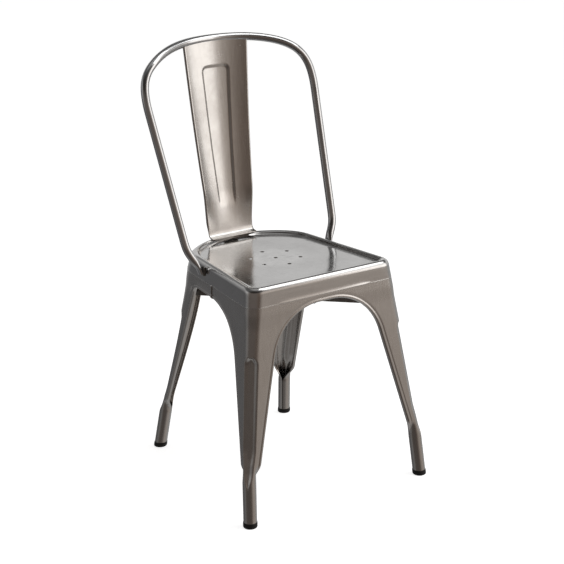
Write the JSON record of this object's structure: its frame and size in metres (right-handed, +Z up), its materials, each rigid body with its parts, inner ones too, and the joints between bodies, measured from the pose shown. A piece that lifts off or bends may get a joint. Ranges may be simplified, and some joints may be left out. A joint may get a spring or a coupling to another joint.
{
  "type": "stacking chair",
  "caption": "Armless stacking side chair in pressed sheet steel: splayed channel legs, dished seat with drain holes, bent-tube back hoop and a tapered splat",
  "frame": {"origin": "on the floor, in the middle of the rectangle round the four feet", "axes": "+Z up, +X to the right for someone facing the chair, the front of the seat towards -Y"},
  "size_m": [0.4284, 0.4534, 0.85],
  "materials": {
    "sheet_steel": "pressed mild steel sheet under clear lacquer, semi-gloss, warm grey",
    "tube_steel": "bent steel tube under clear lacquer, semi-gloss",
    "brace_steel": "flat steel strip under clear lacquer, darker in the shade of the seat",
    "weld_steel": "dressed weld bead under clear lacquer",
    "foot_rubber": "black moulded rubber, matt",
    "pad_plastic": "black moulded plastic, matt"
  },
  "bodies": {
    "root": {"seat_pan": "sheet_steel", "front_left_leg": "sheet_steel", "front_right_leg": "sheet_steel", "rear_left_leg": "sheet_steel", "rear_right_leg": "sheet_steel", "back_splat": "sheet_steel", "back_hoop": "tube_steel", "brace_bar_lower": "brace_steel", "brace_bar_upper": "brace_steel", "stacking_pad_front_left": "pad_plastic", "stacking_pad_front_right": "pad_plastic", "stacking_pad_rear_left": "pad_plastic", "stacking_pad_rear_right": "pad_plastic", "front_left_foot_cap": "foot_rubber", "front_right_foot_cap": "foot_rubber", "rear_left_foot_cap": "foot_rubber", "rear_right_foot_cap": "foot_rubber", "hoop_weld_left": "weld_steel", "hoop_weld_right": "weld_steel", "splat_top_weld": "weld_steel", "splat_foot_weld": "weld_steel", "brace_centre_weld": "weld_steel", "brace_end_welds": "weld_steel"}
  },
  "joints": []
}
